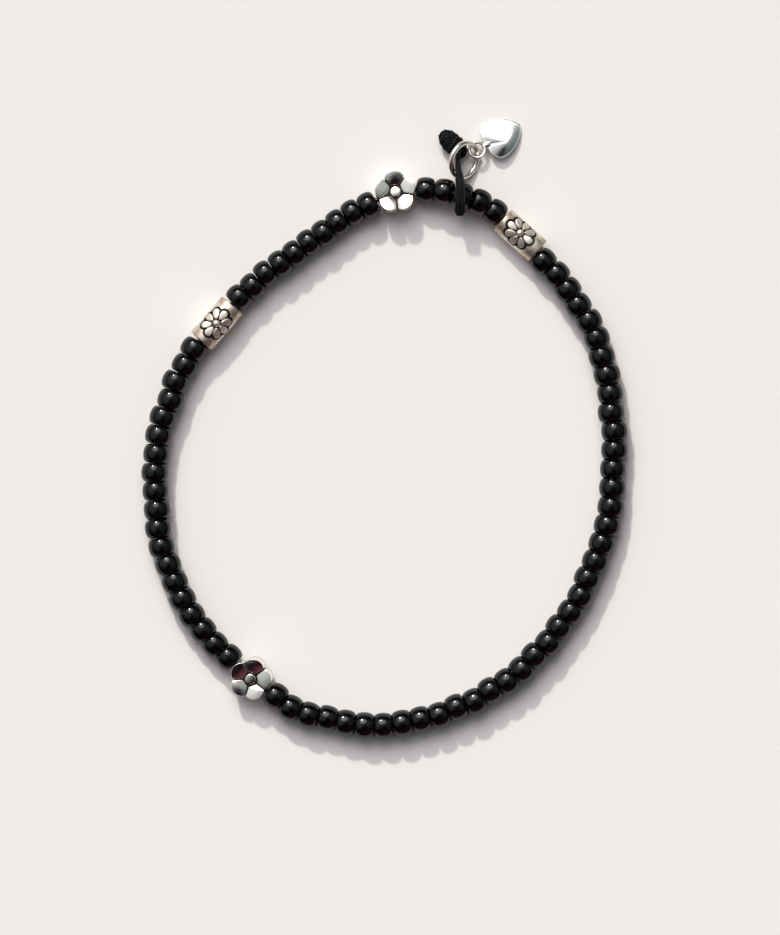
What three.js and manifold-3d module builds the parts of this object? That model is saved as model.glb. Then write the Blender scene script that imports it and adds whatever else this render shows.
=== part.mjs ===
// A beaded charm bracelet lying flat. One closed string carries black glass seed beads, two silver flower
// beads and two silver tube beads. A heart charm hangs from it on a jump ring and a knotted cord loop.
// Millimetres, +Z up. The bracelet lies on the plane z = 0, centred on the origin.
import * as THREE from 'three';
import { mergeVertices } from 'three/addons/utils/BufferGeometryUtils.js';
import Module from 'manifold-3d';

const wasm = await Module();
wasm.setup();

// The string's route in plan, clockwise from the upper flower bead.
const ROUTE_POINTS = [
  [1.3, 27.2], [10.8, 26.1], [18.2, 19.6], [23.4, 12.6], [25.9, 4.0], [26.4, -5.6],
  [24.3, -15.2], [18.8, -24.6], [10.5, -31.1], [0.7, -34.0], [-9.0, -32.7], [-16.3, -27.8],
  [-22.2, -21.3], [-25.6, -13.2], [-26.3, -3.2], [-23.5, 6.4], [-17.8, 14.1], [-9.5, 20.8],
];
// Each silver bead's room on the string, clockwise, and the glass beads that follow it.
const STRING_ROWS = [
  { silver: 'flower_bead_upper', room: 4.9, glassBeads: 5, pitch: 2.12 },
  { silver: 'tube_bead_right', room: 5.8, glassBeads: 39, pitch: 2.18 },
  { silver: 'flower_bead_lower', room: 4.9, glassBeads: 19, pitch: 2.155 },
  { silver: 'tube_bead_left', room: 5.8, glassBeads: 10, pitch: 2.04 },
];
const GLASS = { radius: 1.55, endRadius: 1.0, sideLength: 0.9, gap: 0.14, sides: 10 };
const THREAD_RADIUS = 0.36;
const BORE_RADIUS = 0.64;
const TUBE = { radius: 1.58, length: 5.45, chamfer: 0.14, sides: 16 };
const DAISY = { petals: 8, reach: 1.2, petalLength: 1.24, petalWidth: 0.74, height: 0.15, boss: 0.44 };
const FLOWER = { petals: 5, petalCentre: 1.14, petalRadius: 1.24, thickness: 2.6, bevel: 0.3 };
const GROOVE = { width: 0.2, depth: 0.32, bossRadius: 0.66, reach: 4 };
// The cord, and the parts below, are placed from the middle of the bead that the cord is tied round.
const CORD = { radius: 0.33, spacing: 0.62, wrapRadius: 2.06, wrapX: -0.04, floorGap: 0.04 };
const KNOT = { x: -1.36, y: 6.46, radius: 1.2, halfHeight: 0.95 };
const NECK = { x: -0.16, y: 5.02, radius: 0.6 };
const JUMP_RING = { x: 0.26, y: 4.16, z: 1.76, radius: 2.02, wire: 0.3, lean: 45, leanTowards: 158 };
const EYE = { x: 1.75, y: 5.34, z: 0.98, radius: 0.88, wire: 0.18 };
const HEART = { tip: 5.78, length: 4.65, halfWidth: 2.28, cleft: 0.938, dome: 0.8, domeEdge: 0.9 };
const HEART_TURN = { roll: -6, pitch: 7, heading: 30 };

const blackGlass = new THREE.MeshStandardMaterial({ color: 0x0c0c0d, roughness: 0.12 });
const agedSilver = new THREE.MeshStandardMaterial({ color: 0xcfc8bf, roughness: 0.35, metalness: 1 });
const brightSilver = new THREE.MeshStandardMaterial({ color: 0xe6e5e2, roughness: 0.12, metalness: 1 });
const blackCord = new THREE.MeshStandardMaterial({ color: 0x121213, roughness: 0.8 });

// A closed geometry as a solid that can be joined and cut.
function solidOf(geometry) {
  const bare = new THREE.BufferGeometry();
  bare.setAttribute('position', geometry.getAttribute('position'));
  bare.setIndex(geometry.index);
  const merged = mergeVertices(bare, 1e-4);
  const corners = merged.index.array;
  const triangles = [];
  for (let i = 0; i < corners.length; i += 3) {
    const [a, b, c] = corners.slice(i, i + 3);
    if (a !== b && b !== c && c !== a) {
      triangles.push(a, b, c);
    }
  }
  const vertProperties = merged.getAttribute('position').array;
  const triVerts = new Uint32Array(triangles);
  return new wasm.Manifold(new wasm.Mesh({ numProp: 3, vertProperties, triVerts }));
}

function join(geometries) {
  return wasm.Manifold.union(geometries.map(solidOf));
}

function meshOf(name, solid, material) {
  const { vertProperties, triVerts } = solid.getMesh();
  const geometry = new THREE.BufferGeometry();
  geometry.setAttribute('position', new THREE.BufferAttribute(vertProperties, 3));
  geometry.setIndex(new THREE.BufferAttribute(triVerts, 1));
  geometry.computeVertexNormals();
  const mesh = new THREE.Mesh(geometry, material);
  mesh.name = name;
  return mesh;
}

// A turned body along +X from a profile of [x, radius] points that starts and ends on the axis or closes.
function turned(profile, sides) {
  const points = profile.map(([x, radius]) => new THREE.Vector2(radius, x));
  return new THREE.LatheGeometry(points, sides).rotateZ(-Math.PI / 2);
}

// A round rod along a smooth path through the given points.
function rod(points, radius, sides, steps) {
  const corners = [];
  for (let i = 0; i < sides; i += 1) {
    const angle = (2 * Math.PI * i) / sides;
    corners.push(new THREE.Vector2(radius * Math.cos(angle), radius * Math.sin(angle)));
  }
  const extrudePath = new THREE.CatmullRomCurve3(points);
  return new THREE.ExtrudeGeometry(new THREE.Shape(corners), { extrudePath, steps });
}

// A small repeatable random number from -1 to 1, so that no two glass beads are quite alike.
let seed = 11;
function vary() {
  seed = (seed * 16807) % 2147483647;
  return seed / 1073741823.5 - 1;
}

const route = new THREE.CatmullRomCurve3(
  ROUTE_POINTS.map(([x, y]) => new THREE.Vector3(x, y, 0)), true, 'catmullrom');
route.arcLengthDivisions = 3600;
const ROUTE_LENGTH = route.getLength();

// Where each bead sits along the string, with the rows stretched a hair so that the loop closes.
function layOut() {
  const rowLengths = STRING_ROWS.map((row) => row.room + row.glassBeads * row.pitch);
  const stretch = ROUTE_LENGTH / rowLengths.reduce((sum, length) => sum + length, 0);
  const silver = {};
  const glass = [];
  let along = -STRING_ROWS[0].room / 2;
  for (const row of STRING_ROWS) {
    silver[row.silver] = (along + row.room / 2) * stretch;
    along += row.room;
    for (let i = 0; i < row.glassBeads; i += 1) {
      glass.push({ along: (along + row.pitch / 2) * stretch, length: row.pitch - GLASS.gap });
      along += row.pitch;
    }
  }
  return { silver, glass };
}
const places = layOut();

// The third glass bead is the tied one: the cord passes under it and lifts it and its neighbours.
const TIED_ALONG = places.glass[2].along;
const TIED_HEIGHT = CORD.floorGap + CORD.radius + CORD.wrapRadius;
const LIFT_SPREAD = 3;

// The thread's point at a distance along the string.
function stringPoint(along) {
  const turns = THREE.MathUtils.euclideanModulo(along, ROUTE_LENGTH) / ROUTE_LENGTH;
  const fromTie = (THREE.MathUtils.euclideanModulo(along, ROUTE_LENGTH) - TIED_ALONG) / LIFT_SPREAD;
  const lift = (TIED_HEIGHT - GLASS.radius) * Math.exp(-fromTie * fromTie);
  return route.getPointAt(turns).setZ(GLASS.radius + lift);
}

// A frame on the string: X along it, Y outwards in plan, Z up.
function stringFrame(along) {
  const ahead = stringPoint(along + 0.5).sub(stringPoint(along - 0.5)).normalize();
  const outwards = new THREE.Vector3(0, 0, 1).cross(ahead).normalize();
  const up = new THREE.Vector3().crossVectors(ahead, outwards);
  return new THREE.Matrix4().makeBasis(ahead, outwards, up).setPosition(stringPoint(along));
}

// The cross-sections of one glass bead, a short barrel that sits a little off the thread and askew.
function glassSections({ along, length }) {
  const radius = GLASS.radius * (1 + 0.02 * vary());
  const askew = new THREE.Matrix4().makeRotationZ(0.04 * vary());
  askew.setPosition(0, 0.16 * vary(), radius - GLASS.radius);
  const frame = stringFrame(along).multiply(askew);
  const side = GLASS.sideLength / 2;
  return [
    { frame, x: -length / 2, radius: GLASS.endRadius }, { frame, x: -side, radius },
    { frame, x: side, radius }, { frame, x: length / 2, radius: GLASS.endRadius },
  ];
}

// The cross-sections of the bare thread from one glass bead to the next, or on through a silver bead.
function threadSections(from, to) {
  const start = from.along + from.length / 2;
  const bare = THREE.MathUtils.euclideanModulo(to.along - to.length / 2 - start, ROUTE_LENGTH);
  const steps = bare > 1 ? 4 : 0;
  const sections = [];
  for (let i = 0; i <= steps; i += 1) {
    const share = steps ? 0.02 + (0.96 * i) / steps : 0.5;
    sections.push({ frame: stringFrame(start + share * bare), x: 0, radius: THREAD_RADIUS });
  }
  return sections;
}

// The glass beads and the thread are one body: a ring of round cross-sections moved onto the string.
function beadString() {
  const { glass } = places;
  const sections = glass.flatMap((bead, i) => [
    ...glassSections(bead), ...threadSections(bead, glass[(i + 1) % glass.length])]);
  const rings = sections.length;
  const string = new THREE.TorusGeometry(2, 1, GLASS.sides, rings);
  const position = string.getAttribute('position');
  for (let corner = 0; corner < position.count; corner += 1) {
    const { frame, x, radius } = sections[(corner % (rings + 1)) % rings];
    const angle = (2 * Math.PI * (Math.floor(corner / (rings + 1)) + 0.5)) / GLASS.sides;
    const point = new THREE.Vector3(x, radius * Math.cos(angle), -radius * Math.sin(angle));
    point.applyMatrix4(frame);
    position.setXYZ(corner, point.x, point.y, point.z);
  }
  return meshOf('bead_string', solidOf(string), blackGlass);
}

// Moves a raised piece from the origin to the tube's upper side, along it and around it.
function ontoTube(geometry, along, around, heading) {
  geometry.rotateZ(heading);
  geometry.translate(0, 0, TUBE.radius);
  geometry.rotateX(-around / TUBE.radius);
  return geometry.translate(along, 0, 0);
}

// A bored tube along X with a raised daisy on its upper side, off the middle by the distances given.
// Its underside is a flat facet.
function tubeBead(name, daisyAlong, daisyAround) {
  const half = TUBE.length / 2;
  const rim = TUBE.radius - TUBE.chamfer;
  const pieces = [turned([
    [-half, BORE_RADIUS], [-half, rim], [-half + TUBE.chamfer, TUBE.radius],
    [half - TUBE.chamfer, TUBE.radius], [half, rim], [half, BORE_RADIUS], [-half, BORE_RADIUS],
  ], TUBE.sides).rotateX(Math.PI / TUBE.sides)];
  for (let i = 0; i < DAISY.petals; i += 1) {
    const heading = (2 * Math.PI * i) / DAISY.petals;
    const petal = new THREE.SphereGeometry(1, 8, 4).rotateX(Math.PI / 2);
    petal.scale(DAISY.petalLength / 2, DAISY.petalWidth / 2, DAISY.height);
    const along = daisyAlong + DAISY.reach * Math.cos(heading);
    pieces.push(ontoTube(petal, along, daisyAround + DAISY.reach * Math.sin(heading), heading));
  }
  const boss = new THREE.SphereGeometry(DAISY.boss, 10, 4).rotateX(Math.PI / 2).scale(1, 1, 0.45);
  pieces.push(ontoTube(boss, daisyAlong, daisyAround, 0));
  return meshOf(name, join(pieces), agedSilver);
}

// The outline of a flower bead: five petals, each an arc that ends where it meets the next.
function flowerOutline() {
  const halfStep = Math.PI / FLOWER.petals;
  const sideways = FLOWER.petalCentre * Math.sin(halfStep);
  const notch = FLOWER.petalCentre * Math.cos(halfStep) + Math.sqrt(FLOWER.petalRadius ** 2 - sideways ** 2);
  const spread = Math.atan2(notch * Math.sin(halfStep), notch * Math.cos(halfStep) - FLOWER.petalCentre);
  const outline = new THREE.Shape();
  for (let i = 0; i < FLOWER.petals; i += 1) {
    const angle = 2 * halfStep * i;
    const [x, y] = [FLOWER.petalCentre * Math.cos(angle), FLOWER.petalCentre * Math.sin(angle)];
    outline.absarc(x, y, FLOWER.petalRadius, angle - spread, angle + spread, false);
  }
  return outline;
}

// The grooves between the petals and round the boss, on the upper or lower face.
function flowerGrooves(faceHeight) {
  const cuts = [];
  const { width, depth, bossRadius, reach } = GROOVE;
  for (let i = 0; i < FLOWER.petals; i += 1) {
    const cut = new THREE.BoxGeometry(reach, width, 2 * depth);
    cut.translate((reach + width) / 2 + bossRadius, 0, faceHeight);
    cuts.push(cut.rotateZ(((i + 0.5) * 2 * Math.PI) / FLOWER.petals));
  }
  const ring = turned([
    [-depth, bossRadius], [-depth, bossRadius + width], [depth, bossRadius + width], [depth, bossRadius],
    [-depth, bossRadius],
  ], 14);
  cuts.push(ring.rotateY(Math.PI / 2).translate(0, 0, faceHeight));
  return cuts;
}

// A five-petalled bead with the same face above and below, bored edge to edge along X.
function flowerBead(name, petalHeading) {
  const half = FLOWER.thickness / 2;
  const body = new THREE.ExtrudeGeometry(flowerOutline(), {
    depth: FLOWER.thickness - 2 * FLOWER.bevel, curveSegments: 6, bevelSegments: 2,
    bevelThickness: FLOWER.bevel, bevelSize: FLOWER.bevel, bevelOffset: -FLOWER.bevel,
  }).translate(0, 0, FLOWER.bevel - half);
  const grooves = join([...flowerGrooves(half), ...flowerGrooves(-half)]);
  const bore = solidOf(new THREE.CylinderGeometry(BORE_RADIUS, BORE_RADIUS, 8, 10).rotateZ(Math.PI / 2));
  const flower = solidOf(body).subtract(grooves).rotate([0, 0, petalHeading]);
  return meshOf(name, flower.subtract(bore), brightSilver);
}

// Puts a silver bead on the string, rolled about it, turned askew in plan and moved inwards by what its
// bore allows, resting on the plane z = 0.
function threadOn(mesh, roll, turn, inwards) {
  const [rollAngle, turnAngle] = [roll, turn].map(THREE.MathUtils.degToRad);
  const askew = new THREE.Matrix4().makeRotationFromEuler(new THREE.Euler(rollAngle, 0, turnAngle, 'ZYX'));
  askew.setPosition(0, -inwards, 0);
  mesh.applyMatrix4(askew.premultiply(stringFrame(places.silver[mesh.name])));
  mesh.updateMatrixWorld();
  mesh.position.z -= new THREE.Box3().setFromObject(mesh, true).min.z;
  return mesh;
}

// One of the two strands side by side: from the knot over the bead, round it and back under to the knot.
function cordStrand(side) {
  const x = CORD.wrapX + (side * CORD.spacing) / 2;
  const points = [
    new THREE.Vector3(NECK.x, NECK.y, KNOT.halfHeight),
    new THREE.Vector3(-0.34 + 0.06 * side, 4.25, 1.65),
    new THREE.Vector3(-0.3 + 0.14 * side, 3.0, 2.8),
    new THREE.Vector3(-0.16 + 0.25 * side, 1.75, 3.7),
  ];
  for (let turn = 70; turn <= 270; turn += 40) {
    const angle = THREE.MathUtils.degToRad(turn);
    const height = TIED_HEIGHT + CORD.wrapRadius * Math.sin(angle);
    points.push(new THREE.Vector3(x, CORD.wrapRadius * Math.cos(angle), height));
  }
  points.push(
    new THREE.Vector3(-0.2 + 0.25 * side, 1.75, CORD.radius + CORD.floorGap),
    new THREE.Vector3(-0.3 + 0.14 * side, 3.4, CORD.radius + CORD.floorGap + 0.03),
    new THREE.Vector3(NECK.x, NECK.y, KNOT.halfHeight - 0.1),
  );
  return rod(points, CORD.radius, 8, 26);
}

// The knot: a round bulb that narrows to the neck where the strands leave it, flattened by lying down.
function cordKnot() {
  const towardsNeck = new THREE.Vector2(NECK.x - KNOT.x, NECK.y - KNOT.y);
  const neckAt = towardsNeck.length();
  const profile = [[-KNOT.radius, 0]];
  for (const degrees of [150, 120, 90]) {
    const angle = THREE.MathUtils.degToRad(degrees);
    profile.push([KNOT.radius * Math.cos(angle), KNOT.radius * Math.sin(angle)]);
  }
  profile.push([KNOT.radius / 3, 0.94 * KNOT.radius]);
  profile.push([neckAt + 0.2, 0.94 * NECK.radius], [neckAt + 0.5, 0]);
  const knot = turned(profile, 12);
  knot.scale(1, 1, KNOT.halfHeight / KNOT.radius);
  knot.rotateZ(towardsNeck.angle());
  return knot.translate(KNOT.x, KNOT.y, KNOT.halfHeight);
}

function cordLoop() {
  return meshOf('cord_loop', join([cordKnot(), cordStrand(-1), cordStrand(1)]), blackCord);
}

// The ring lies across the knot and dips through the heart's eye.
function jumpRing() {
  const torus = new THREE.TorusGeometry(JUMP_RING.radius, JUMP_RING.wire, 6, 16);
  const ring = meshOf('jump_ring', solidOf(torus), brightSilver);
  const towards = THREE.MathUtils.degToRad(JUMP_RING.leanTowards);
  const hinge = new THREE.Vector3(Math.sin(towards), -Math.cos(towards), 0);
  ring.quaternion.setFromAxisAngle(hinge, THREE.MathUtils.degToRad(JUMP_RING.lean));
  ring.position.set(JUMP_RING.x, JUMP_RING.y, JUMP_RING.z);
  return ring;
}

// The heart's outline, tip towards +X, with the eye at the origin. Each half is two curves, from the tip to
// the widest point and on round the lobe to the cleft; back is a share of the length, out of the half width.
function heartOutline() {
  const { tip, length, halfWidth } = HEART;
  const at = (back, out) => [tip - back * length, out * halfWidth];
  const outline = new THREE.Shape().moveTo(tip, 0);
  outline.bezierCurveTo(...at(0.03, 0.38), ...at(0.39, 1), ...at(0.73, 1));
  outline.bezierCurveTo(...at(0.97, 1), ...at(1.07, 0.4), ...at(HEART.cleft, 0));
  outline.bezierCurveTo(...at(1.07, -0.4), ...at(0.97, -1), ...at(0.73, -1));
  outline.bezierCurveTo(...at(0.39, -1), ...at(0.03, -0.38), ...at(0, 0));
  return outline;
}

// A domed heart with a flat back and the eye soldered in its cleft.
function heartCharm() {
  const { tip, length, cleft, dome, domeEdge } = HEART;
  const lens = new THREE.ExtrudeGeometry(heartOutline(), {
    depth: 0.1, curveSegments: 6, bevelSegments: 4,
    bevelThickness: dome, bevelSize: domeEdge, bevelOffset: -domeEdge,
  });
  const belowBack = new THREE.BoxGeometry(12, 12, 4).translate(0, 0, -EYE.wire - 2);
  const front = solidOf(lens).subtract(solidOf(belowBack));
  const eye = new THREE.TorusGeometry(EYE.radius, EYE.wire, 6, 14);
  const neckLength = tip - cleft * length + 0.3 - EYE.radius;
  const neck = new THREE.CylinderGeometry(EYE.wire, 0.3, neckLength, 8).rotateZ(Math.PI / 2);
  neck.translate(EYE.radius + neckLength / 2, 0, 0.02);
  const charm = meshOf('heart_charm', front.add(join([eye, neck])), brightSilver);
  const { roll, pitch, heading } = HEART_TURN;
  charm.rotation.set(...[roll, pitch, heading].map(THREE.MathUtils.degToRad), 'ZYX');
  charm.position.set(EYE.x, EYE.y, EYE.z);
  return charm;
}

// Everything that hangs from the tied bead, placed from its middle in plan.
function charmGroup() {
  const group = new THREE.Group();
  const { x, y } = stringPoint(TIED_ALONG);
  group.position.set(x, y, 0);
  group.add(cordLoop(), jumpRing(), heartCharm());
  return group;
}

const bracelet = new THREE.Group();
bracelet.add(
  beadString(),
  threadOn(flowerBead('flower_bead_upper', 10), -8, 0, 0),
  threadOn(tubeBead('tube_bead_right', -0.2, 0.2), 0, 4, 0.06),
  threadOn(flowerBead('flower_bead_lower', 5), -9, 0, 0),
  threadOn(tubeBead('tube_bead_left', -0.05, 0), 0, 0, 0.2),
  charmGroup(),
);
export default bracelet;
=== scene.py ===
"""A beaded charm bracelet of black glass, silver and black cord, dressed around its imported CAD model.

Every piece is modelled in millimetres, most of them at the origin, then moved to its place and scaled
to metres.
"""
import bisect
import math

import bmesh
import bpy
from mathutils import Euler, Matrix, Vector


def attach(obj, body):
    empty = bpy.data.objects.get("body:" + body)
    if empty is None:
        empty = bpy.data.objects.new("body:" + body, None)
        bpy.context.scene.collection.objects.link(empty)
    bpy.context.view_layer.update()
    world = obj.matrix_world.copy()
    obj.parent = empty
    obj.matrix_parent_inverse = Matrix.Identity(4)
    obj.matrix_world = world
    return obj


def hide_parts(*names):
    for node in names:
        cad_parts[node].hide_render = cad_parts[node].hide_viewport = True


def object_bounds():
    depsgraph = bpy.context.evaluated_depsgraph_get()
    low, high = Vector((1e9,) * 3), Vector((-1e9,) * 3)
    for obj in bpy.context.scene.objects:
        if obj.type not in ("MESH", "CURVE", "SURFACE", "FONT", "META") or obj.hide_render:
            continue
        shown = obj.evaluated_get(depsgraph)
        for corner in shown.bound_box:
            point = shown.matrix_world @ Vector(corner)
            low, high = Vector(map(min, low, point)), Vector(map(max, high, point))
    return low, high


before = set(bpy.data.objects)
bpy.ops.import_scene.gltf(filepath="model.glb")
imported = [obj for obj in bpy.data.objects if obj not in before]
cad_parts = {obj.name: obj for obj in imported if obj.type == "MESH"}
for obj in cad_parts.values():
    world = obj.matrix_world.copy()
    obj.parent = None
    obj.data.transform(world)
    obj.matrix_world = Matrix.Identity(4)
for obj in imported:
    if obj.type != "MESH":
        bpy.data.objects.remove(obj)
cad_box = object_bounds()
scene = bpy.context.scene
bpy.ops.object.select_all(action="DESELECT")
MM = 0.001

# --- Camera -------------------------------------------------------------------------------------
# A long lens looks straight down at the bracelet, which lies a little above the middle of the view.
VIEW_HEIGHT_MM = 107.8
VIEW_RIGHT_OF_MIDDLE_MM = 0.6
VIEW_BELOW_MIDDLE_MM = 4.46
CAMERA_ABOVE_MM = 900
low, high = cad_box
middle = (low + high) / 2
camera = bpy.data.objects.new("camera", bpy.data.cameras.new("camera"))
camera.data.sensor_fit = "VERTICAL"
camera.data.sensor_height = 24
camera.data.lens = camera.data.sensor_height * CAMERA_ABOVE_MM / VIEW_HEIGHT_MM
camera.data.clip_start = 0.01
camera.location = (
    middle.x + VIEW_RIGHT_OF_MIDDLE_MM * MM, middle.y - VIEW_BELOW_MIDDLE_MM * MM, CAMERA_ABOVE_MM * MM)
scene.collection.objects.link(camera)
scene.camera = camera

# --- The elastic thread -------------------------------------------------------------------------
# Black stretch cord, knotted inside one of the beads. It runs through every bead in one closed loop,
# clockwise from the upper flower bead, and shows only as a dark line where two beads part.
# Its route is a closed curve through points (x, y).
ROUTE_POINTS = [
    (1.3, 27.2), (10.8, 26.1), (18.2, 19.6), (23.4, 12.6), (25.9, 4.0), (26.4, -5.6),
    (24.3, -15.2), (18.8, -24.6), (10.5, -31.1), (0.7, -34.0), (-9.0, -32.7), (-16.3, -27.8),
    (-22.2, -21.3), (-25.6, -13.2), (-26.3, -3.2), (-23.5, 6.4), (-17.8, 14.1), (-9.5, 20.8),
]
STRING_ROWS = [
    {"silver": "flower_bead_upper", "room": 4.9, "glass_beads": 5, "pitch": 2.12},
    {"silver": "tube_bead_right", "room": 5.8, "glass_beads": 39, "pitch": 2.18},
    {"silver": "flower_bead_lower", "room": 4.9, "glass_beads": 19, "pitch": 2.155},
    {"silver": "tube_bead_left", "room": 5.8, "glass_beads": 10, "pitch": 2.04},
]
ROUTE_DIVISIONS = 3600
GLASS_RADIUS = 1.55
TIED_BEAD = 2
TIED_HEIGHT = 2.43
LIFT_SPREAD = 3.0
THREAD_RADIUS = 0.3
THREAD_STEP = 0.3


def between(before, start, end, after, part):
    """A point part of the way from start to end, on a Catmull-Rom curve through all four."""
    pull_in = (end - before) / 2
    pull_out = (after - start) / 2
    square = (3 * (end - start) - 2 * pull_in - pull_out) * part**2
    cube = (2 * (start - end) + pull_in + pull_out) * part**3
    return start + pull_in * part + square + cube


def route_point(share):
    """The route's point at a share of the way through its points."""
    whole, part = divmod(share * len(ROUTE_POINTS), 1)
    around = [ROUTE_POINTS[(int(whole) + i) % len(ROUTE_POINTS)] for i in (-1, 0, 1, 2)]
    return between(*(Vector(point) for point in around), part)


route_lengths = [0.0]
for step in range(ROUTE_DIVISIONS):
    piece = route_point((step + 1) / ROUTE_DIVISIONS) - route_point(step / ROUTE_DIVISIONS)
    route_lengths.append(route_lengths[-1] + piece.length)
ROUTE_LENGTH = route_lengths[-1]


def lay_out():
    """Where each silver and glass bead sits along the string, stretched a hair so that it closes."""
    asked = sum(row["room"] + row["glass_beads"] * row["pitch"] for row in STRING_ROWS)
    stretch = ROUTE_LENGTH / asked
    silver, glass = {}, []
    along = -STRING_ROWS[0]["room"] / 2
    for row in STRING_ROWS:
        silver[row["silver"]] = (along + row["room"] / 2) * stretch
        along += row["room"]
        for _ in range(row["glass_beads"]):
            glass.append(((along + row["pitch"] / 2) * stretch, row["pitch"]))
            along += row["pitch"]
    return silver, glass


silver_places, glass_places = lay_out()
TIED_ALONG = glass_places[TIED_BEAD][0]


def string_point(along):
    """The thread's point at a distance along the string. The tied bead is lifted by its cord."""
    along %= ROUTE_LENGTH
    step = min(bisect.bisect_right(route_lengths, along), ROUTE_DIVISIONS) - 1
    part = (along - route_lengths[step]) / (route_lengths[step + 1] - route_lengths[step])
    from_tie = (along - TIED_ALONG) / LIFT_SPREAD
    lift = (TIED_HEIGHT - GLASS_RADIUS) * math.exp(-from_tie * from_tie)
    return route_point((step + part) / ROUTE_DIVISIONS).to_3d() + Vector((0, 0, GLASS_RADIUS + lift))


def string_frame(along):
    """A frame on the string: X along it, Y outwards in plan, Z up."""
    ahead = (string_point(along + 0.5) - string_point(along - 0.5)).normalized()
    outwards = Vector((0, 0, 1)).cross(ahead).normalized()
    turn = Matrix((ahead, outwards, ahead.cross(outwards))).transposed().to_4x4()
    return Matrix.Translation(string_point(along)) @ turn


def linear(hex_colour):
    """An sRGB hex colour as linear red, green, blue and alpha."""
    channels = [int(hex_colour[i:i + 2], 16) / 255 for i in (1, 3, 5)]
    return [c / 12.92 if c <= 0.04045 else ((c + 0.055) / 1.055) ** 2.4 for c in channels] + [1.0]


def add_node(tree, kind, settings, inputs):
    """Adds a node with its settings. Each input is linked to a socket or set to a value."""
    node = tree.nodes.new(kind)
    for name, value in settings.items():
        setattr(node, name, value)
    for name, value in inputs.items():
        if isinstance(value, bpy.types.NodeSocket):
            tree.links.new(value, node.inputs[name])
        else:
            node.inputs[name].default_value = value
    return node


def new_material(name):
    """An empty node material and its shader."""
    material = bpy.data.materials.new(name)
    material.use_nodes = True
    return material, material.node_tree, material.node_tree.nodes["Principled BSDF"]


def active_piece(name):
    """The object that the last operator made, under its name."""
    made = bpy.context.object
    made.name = name
    made.data.name = name
    return made


def set_in_place(made, place, material):
    """Moves a finished piece's mesh to its place and scales it from millimetres to metres."""
    made.data.transform(Matrix.Scale(MM, 4) @ place)
    made.data.materials.clear()
    made.data.materials.append(material)


# Polyurethane cord: solid black, with the soft gloss of plastic, uneven over about a millimetre.
stretch_cord, tree, shader = new_material("black_stretch_cord")
shader.inputs["Base Color"].default_value = linear("#0b0b0c")
shader.inputs["Roughness"].default_value = 0.35
stretch = add_node(tree, "ShaderNodeTexNoise", {}, {"Scale": 900})
thread_bump = add_node(tree, "ShaderNodeBump", {}, {"Distance": 0.00002, "Height": stretch.outputs[0]})
tree.links.new(thread_bump.outputs[0], shader.inputs["Normal"])

thread_curve = bpy.data.curves.new("elastic_thread", "CURVE")
thread_curve.dimensions = "3D"
thread_curve.bevel_depth = THREAD_RADIUS
thread_curve.bevel_resolution = 2
thread_steps = round(ROUTE_LENGTH / THREAD_STEP)
thread_line = thread_curve.splines.new("POLY")
thread_line.points.add(thread_steps - 1)
thread_line.use_cyclic_u = True
for step in range(thread_steps):
    thread_line.points[step].co = string_point(step * ROUTE_LENGTH / thread_steps).to_4d()
thread = bpy.data.objects.new("elastic_thread", thread_curve)
scene.collection.objects.link(thread)
bpy.context.view_layer.objects.active = thread
thread.select_set(True)
bpy.ops.object.convert(target="MESH")
thread = active_piece("elastic_thread")
bpy.ops.object.shade_smooth()
set_in_place(thread, Matrix.Identity(4), stretch_cord)
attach(thread, "root")
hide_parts("bead_string")

# --- The glass beads ----------------------------------------------------------------------------
# Size 8/0 seed beads of opaque black glass: short rings cut from a drawn tube and tumbled hot until
# their edges are round. No two are quite alike, and each sits a little askew on the thread.
BEAD_RING_RADIUS = 1.03
BEAD_GLASS_THICKNESS = 1.04
BEAD_GAP = 0.02
CUT_FACE_FROM = 0.82
CUT_FACE_FLATTER = 0.9
THICKNESS_VARIES = 0.02
ASKEW_AT_MOST = 0.04
ASIDE_AT_MOST = 0.16

vary_seed = 11


def vary():
    """A small repeatable random number from -1 to 1."""
    global vary_seed
    vary_seed = vary_seed * 16807 % 2147483647
    return vary_seed / 1073741823.5 - 1


def edit_piece(made, mode, test):
    """Opens a piece for editing with only the vertices, edges or faces that pass the test selected."""
    bpy.ops.object.select_all(action="DESELECT")
    bpy.context.view_layer.objects.active = made
    made.select_set(True)
    bpy.ops.object.mode_set(mode="EDIT")
    bpy.ops.mesh.select_mode(type=mode)
    bpy.ops.mesh.select_all(action="DESELECT")
    mesh = bmesh.from_edit_mesh(made.data)
    for part in {"VERT": mesh.verts, "EDGE": mesh.edges, "FACE": mesh.faces}[mode]:
        part.select_set(test(part))
    mesh.select_flush_mode()
    bmesh.update_edit_mesh(made.data)


def end_edit():
    bpy.ops.object.mode_set(mode="OBJECT")


# Drawn black glass: so dark that it shows only its polish. Where it was hot the surface waves a little,
# over 1.4 mm, and the polish varies over 0.7 mm.
black_glass, tree, shader = new_material("tumbled_black_glass")
shader.inputs["Base Color"].default_value = linear("#040404")
shader.inputs["Specular IOR Level"].default_value = 0.38
where = add_node(tree, "ShaderNodeTexCoord", {}, {})
breath = add_node(tree, "ShaderNodeTexNoise", {"noise_dimensions": "3D"}, {
    "Vector": where.outputs["Object"], "Scale": 1400, "Detail": 2.0})
polish = add_node(tree, "ShaderNodeMapRange", {}, {
    "Value": breath.outputs[0], "From Min": 0.3, "From Max": 0.7, "To Min": 0.09, "To Max": 0.16})
wave = add_node(tree, "ShaderNodeTexNoise", {}, {
    "Vector": where.outputs["Object"], "Scale": 700, "Detail": 1.0})
wave_bump = add_node(tree, "ShaderNodeBump", {}, {
    "Strength": 0.5, "Distance": 0.00004, "Height": wave.outputs[0]})
tree.links.new(polish.outputs[0], shader.inputs["Roughness"])
tree.links.new(wave_bump.outputs[0], shader.inputs["Normal"])

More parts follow.
